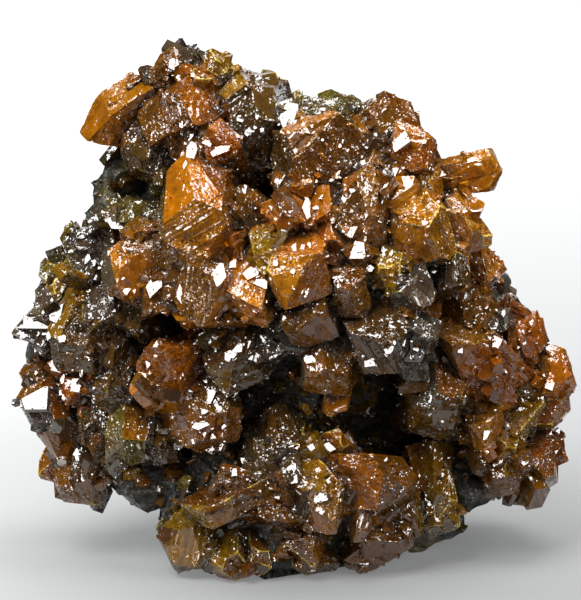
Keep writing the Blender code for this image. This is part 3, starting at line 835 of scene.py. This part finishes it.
class Nodes:
    """Short ways to build a material's nodes."""

    def __init__(self, name):
        self.material = bpy.data.materials.new(name)
        self.material.use_nodes = True
        self.tree = self.material.node_tree
        self.shader = self.tree.nodes["Principled BSDF"]
        self.output = self.tree.nodes["Material Output"]

    def put(self, socket, value):
        if isinstance(value, bpy.types.NodeSocket):
            self.tree.links.new(value, socket)
        else:
            socket.default_value = value

    def node(self, kind, inputs=None, **settings):
        made = self.tree.nodes.new(kind)
        for name, value in settings.items():
            setattr(made, name, value)
        for name, value in (inputs or {}).items():
            self.put(made.inputs[name], value)
        return made

    def attribute(self, name, output):
        return self.node("ShaderNodeAttribute", attribute_name=name).outputs[output]

    def math(self, operation, first, second=0.0):
        return self.node("ShaderNodeMath", {0: first, 1: second}, operation=operation).outputs[0]

    def vector(self, operation, first, second=(0, 0, 0)):
        return self.node("ShaderNodeVectorMath", {0: first, 1: second}, operation=operation).outputs[0]

    def scaled(self, vector, amount):
        made = self.node("ShaderNodeVectorMath", {0: vector}, operation="SCALE")
        self.put(made.inputs["Scale"], amount)
        return made.outputs[0]

    def mix(self, amount, first, second, kind="RGBA", blend="MIX"):
        made = self.node("ShaderNodeMix", data_type=kind)
        if kind == "RGBA":
            made.blend_type = blend
        sockets = {"FLOAT": (0, 2, 3, 0), "RGBA": (0, 6, 7, 2)}[kind]
        self.put(made.inputs[sockets[0]], amount)
        self.put(made.inputs[sockets[1]], first)
        self.put(made.inputs[sockets[2]], second)
        return made.outputs[sockets[3]]

    def between(self, value, low, high, to_low=0.0, to_high=1.0):
        """value mapped from low..high to to_low..to_high, and held there."""
        inputs = {0: value, 1: low, 2: high, 3: to_low, 4: to_high}
        return self.node("ShaderNodeMapRange", inputs, clamp=True).outputs[0]

    def noise(self, place, scale, detail=3.0, roughness=0.5):
        inputs = {"Vector": place, "Scale": scale, "Detail": detail, "Roughness": roughness}
        return self.node("ShaderNodeTexNoise", inputs).outputs[0]

    def cells(self, place, scale):
        """A random colour in each cell."""
        return self.node("ShaderNodeTexVoronoi", {"Vector": place, "Scale": scale}).outputs["Color"]

    def times(self, colour, factor):
        return self.mix(1.0, colour, factor, blend="MULTIPLY")

    def shown_by(self, name, low, high, most):
        """How much an attribute shows: nothing at low, and most at high."""
        return self.between(self.attribute(name, "Fac"), low, high, 0.0, most)

    def tilted(self, normal, cells, amount):
        """The normal, tilted at random in each of the cells."""
        lean = self.scaled(self.vector("SUBTRACT", cells, (0.5, 0.5, 0.5)), amount)
        return self.vector("NORMALIZE", self.vector("ADD", normal, lean))

    def striped(self, normal, place):
        """The normal, tilted to and fro across the stripes of the striped facets."""
        parts = self.node("ShaderNodeSeparateXYZ", {0: place}).outputs
        bend = self.noise(self.vector("MULTIPLY", place, (0.25, 0.5, 1.0)), 1.0, 2.0)
        level = self.math("ADD", self.math("MULTIPLY", parts[1], 3.2), self.math("MULTIPLY", bend, 1.2))
        level = self.math("ADD", self.math("FLOOR", level), self.math("MULTIPLY", parts[2], 11.0))
        number = self.node("ShaderNodeTexWhiteNoise", {"W": level}, noise_dimensions="1D").outputs["Value"]
        amount = self.math("MULTIPLY", self.math("SUBTRACT", number, 0.5), 1.1)
        amount = self.math("MULTIPLY", amount, self.attribute("striped", "Fac"))
        lean = self.scaled(self.attribute("across", "Vector"), amount)
        return self.vector("NORMALIZE", self.vector("ADD", normal, lean))

    def sparkling(self, normal, cells, share, amount, rest=0.05):
        """The normal, tilted strongly in this share of the cells, and by rest in the others."""
        red = self.node("ShaderNodeSeparateColor", {0: cells}).outputs[0]
        chosen = self.math("LESS_THAN", self.math("FRACT", self.math("MULTIPLY", red, 13.7)), share)
        return self.tilted(normal, cells, self.math("ADD", self.math("MULTIPLY", chosen, amount), rest))


def crystal_normal(n, place, polish, etched, crowded, grain):
    """The direction that each spot of a crystal faces: faces lean in cells, have stripes, and sparkle."""
    rough = n.between(polish, 1.0, 2.0, 1.0, 0.22)
    normal = n.node("ShaderNodeNewGeometry").outputs["Normal"]
    broad = n.cells(n.vector("MULTIPLY", place, (0.6, 1.0, 1.0)), 0.50)
    normal = n.tilted(normal, broad, n.math("MULTIPLY", rough, 0.55))
    lean = n.math("MULTIPLY", rough, n.between(etched, 0, 1, 0.10, 0.55))
    normal = n.tilted(normal, n.cells(n.vector("MULTIPLY", place, (0.5, 1.0, 1.0)), 1.5), lean)
    normal = n.striped(normal, place)
    share = n.math("ADD", n.math("MULTIPLY", n.math("MULTIPLY", etched, crowded), 0.75), 0.03)
    return n.sparkling(normal, grain, share, 1.5)


def crystal_colour(n, tone, patch, etched, fine, grain, ragged):
    """The tone, speckled and mottled, and paler on the ridges."""
    light = n.times(tone, LIGHT_GRAIN)
    green = n.node("ShaderNodeSeparateColor", {0: grain}).outputs[1]
    speckled = n.mix(n.between(green, 0.25, 0.95), n.times(tone, DARK_GRAIN), light)
    colour = n.mix(n.between(etched, 0, 1, 0.25, 0.95), tone, speckled)
    broad = n.between(patch, 0.34, 0.62, 0.68, 1.22)
    colour = n.times(colour, n.math("MULTIPLY", broad, n.between(fine, 0.3, 0.7, 0.84, 1.14)))
    return n.mix(n.between(ragged, 1.0, 1.12, 0.0, 0.5), colour, light)


def crystal_material():
    n = Nodes("orpiment")
    place = n.attribute("place", "Vector")
    # The tone holds painted shade near the base and the top as well as the crystals' own colour.
    tone = n.attribute("tone", "Color")
    polish = n.attribute("polish", "Fac")
    body = n.node("ShaderNodeTexCoord").outputs["Object"]

    patch = n.noise(body, 400.0, 3.0)
    etched = n.between(n.math("SUBTRACT", patch, n.math("MULTIPLY", polish, 0.28)), 0.22, 0.36)
    crowded = n.between(patch, 0.46, 0.60)
    fine = n.node("ShaderNodeTexNoise", {"Vector": body, "Scale": 1800.0, "Detail": 1.0}).outputs
    wander = n.scaled(n.vector("SUBTRACT", fine["Color"], (0.5, 0.5, 0.5)), 0.0002)
    grain = n.cells(n.vector("ADD", body, wander), 5200.0)
    n.put(n.shader.inputs["Normal"], crystal_normal(n, place, polish, etched, crowded, grain))

    ragged = n.math("ADD", n.attribute("ridge", "Fac"), n.math("MULTIPLY", fine[0], 0.5))
    powder = n.math("MULTIPLY", n.between(ragged, 0.68, 0.88), n.between(patch, 0.38, 0.50))
    powder = n.math("MULTIPLY", powder, n.attribute("powder", "Fac"))
    colour = crystal_colour(n, tone, patch, etched, fine[0], grain, ragged)
    colour = n.mix(powder, colour, POWDER)
    # Painted shade: the colour goes nearly black in the sharp hollows between facets, and the crystal is
    # less clear there.
    hollow = n.shown_by("hollow", 0.2, 0.9, 0.8)
    colour = n.mix(hollow, colour, HOLLOW_PAINTED_SHADE)
    colour = n.mix(n.shown_by("shade", 0.05, 0.65, 0.88), colour, SHADE)
    n.put(n.shader.inputs["Base Color"], colour)
    n.put(n.shader.inputs["Roughness"], n.mix(powder, 0.03, 0.6, kind="FLOAT"))
    n.put(n.shader.inputs["IOR"], REFRACTION)
    red = n.node("ShaderNodeSeparateColor", {0: tone}).outputs[0]
    clear = n.math("MULTIPLY", n.between(etched, 0, 1, 0.50, 0.20), n.between(red, 0.08, 0.35, 0.2, 1.0))
    clear = n.math("MULTIPLY", clear, n.math("SUBTRACT", 1.0, n.math("MAXIMUM", powder, hollow)))
    n.put(n.shader.inputs["Transmission Weight"], clear)
    absorb = n.node("ShaderNodeVolumeAbsorption", {"Color": ABSORBED, "Density": ABSORPTION})
    n.put(n.output.inputs["Volume"], absorb.outputs[0])
    return n.material


def rock_material():
    n = Nodes("dark_rock")
    body = n.node("ShaderNodeTexCoord").outputs["Object"]
    layers = n.vector("MULTIPLY", body, (1.0, 1.0, 3.0))
    streak = n.noise(layers, 420.0, 5.0, 0.65)
    colour = n.mix(n.between(streak, 0.42, 0.68), ROCK_DARK, ROCK_PALE)
    stain = n.between(n.noise(body, 160.0, 4.0), 0.56, 0.7)
    colour = n.mix(n.math("MULTIPLY", stain, 0.5), colour, ROCK_STAIN)
    n.put(n.shader.inputs["Base Color"], colour)
    normal = n.node("ShaderNodeNewGeometry").outputs["Normal"]
    normal = n.tilted(normal, n.cells(body, 700.0), 0.5)
    normal = n.tilted(normal, n.cells(body, 2600.0), 0.7)
    n.put(n.shader.inputs["Normal"], normal)
    n.put(n.shader.inputs["Roughness"], n.between(streak, 0.35, 0.65, 0.5, 0.28))
    n.put(n.shader.inputs["Specular IOR Level"], 0.6)
    return n.material


def paper_material():
    """Pale paper round and behind the specimen, dark in front of it and far to its sides."""
    n = Nodes("pale_paper")
    x, y, _ = n.node("ShaderNodeSeparateXYZ", {0: n.node("ShaderNodeTexCoord").outputs["Object"]}).outputs
    colour = n.mix(n.between(y, -0.05, 0.3), PAPER_NEAR, PAPER_FAR)
    front = n.between(y, -0.06, -0.028)
    widening = n.math("MULTIPLY", n.math("MAXIMUM", y, 0.0), 0.10)
    side = n.between(n.math("SUBTRACT", n.math("ABSOLUTE", x), widening), 0.052, 0.11, 1.0, 0.0)
    lit = n.math("MULTIPLY", front, side)
    n.put(n.shader.inputs["Base Color"], n.mix(lit, PAPER_OUTSIDE, colour))
    n.put(n.shader.inputs["Roughness"], 0.9)
    n.put(n.shader.inputs["Specular IOR Level"], 0.05)
    # Painted light: the pale paper glows, more to the left, to lift the shadows round the base.
    painted_fill_glow = n.between(x, -0.06, 0.0, 0.42, 0.16)
    n.put(n.shader.inputs["Emission Color"], (0.98, 1, 1, 1))
    n.put(n.shader.inputs["Emission Strength"], n.math("MULTIPLY", painted_fill_glow, lit))
    return n.material


def make_stage():
    """A pale floor that curves up into the backdrop."""
    bend = 0.25
    turns = np.linspace(0.1, math.pi / 2, 12)
    profile = [(-0.16, 0.0), (bend, 0.0)]
    profile += [(bend + bend * math.sin(turn), bend - bend * math.cos(turn)) for turn in turns]
    profile.append((2 * bend, 1.2))
    half_width = 1.6
    points = [(x, y, z) for y, z in profile for x in (-half_width, half_width)]
    faces = [(2 * k, 2 * k + 1, 2 * k + 3, 2 * k + 2) for k in range(len(profile) - 1)]
    mesh = bpy.data.meshes.new("backdrop")
    mesh.from_pydata(points, [], faces)
    for face in mesh.polygons:
        face.use_smooth = True
    backdrop = bpy.data.objects.new("backdrop", mesh)
    bpy.context.scene.collection.objects.link(backdrop)
    mesh.materials.append(paper_material())


def add_light(name, place, target, size, power):
    data = bpy.data.lights.new(name, "AREA")
    data.shape = "RECTANGLE"
    data.size, data.size_y = size
    data.energy = power
    made = bpy.data.objects.new(name, data)
    made.location = place
    made.rotation_euler = (Vector(place) - Vector(target)).to_track_quat("Z", "Y").to_euler()
    bpy.context.scene.collection.objects.link(made)


def make_light():
    world = bpy.data.worlds.new("room")
    world.use_nodes = True
    background = world.node_tree.nodes["Background"]
    background.inputs["Color"].default_value = ROOM
    background.inputs["Strength"].default_value = 0.045
    bpy.context.scene.world = world
    for light in LIGHTS:
        add_light(*light)


def limit_bounces(settings):
    """Ends the light's paths sooner, since little light is left after this many bounces."""
    settings.max_bounces = 6
    settings.diffuse_bounces = 2
    settings.glossy_bounces = 3
    settings.transmission_bounces = 5


def make_camera():
    data = bpy.data.cameras.new("camera")
    data.sensor_width = SENSOR
    data.lens = SENSOR * EYE_DISTANCE / (PICTURE_HEIGHT * PICTURE_STEP)
    data.shift_y = (MIDDLE_ROW - PICTURE_HEIGHT / 2) / PICTURE_HEIGHT
    data.clip_start = 0.01
    made = bpy.data.objects.new("camera", data)
    made.location = eye_place()
    made.rotation_euler = (eye_place() - MIDDLE).to_track_quat("Z", "Y").to_euler()
    bpy.context.scene.collection.objects.link(made)
    bpy.context.scene.camera = made


def main():
    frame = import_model()
    crystal = crystal_material()
    forms = small_forms()
    tree = all_solids(frame["nodes"].values())
    plates = grow_bright_plates(tree)
    plates.data.materials.append(crystal)
    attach(plates, "root")
    for seed, (name, node) in enumerate(sorted(frame["nodes"].items())):
        if name == "matrix":
            made, fine = grow_rock(node)
            made.data.materials.append(rock_material())
            small = grow_on_rock(fine, forms)
        else:
            made, fine, seams = grow_crystals(node, seed, tree)
            made.data.materials.append(crystal)
            small = grow_small(name, fine, seams, forms, seed, tree)
        small.data.materials.append(crystal)
        for piece in (made, small):
            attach(piece, "root")
            print(piece.name, len(piece.data.polygons), "triangles")
        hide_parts(name)
    make_stage()
    make_light()
    make_camera()
    bpy.context.scene.view_settings.view_transform = "Standard"
    limit_bounces(bpy.context.scene.cycles)


main()
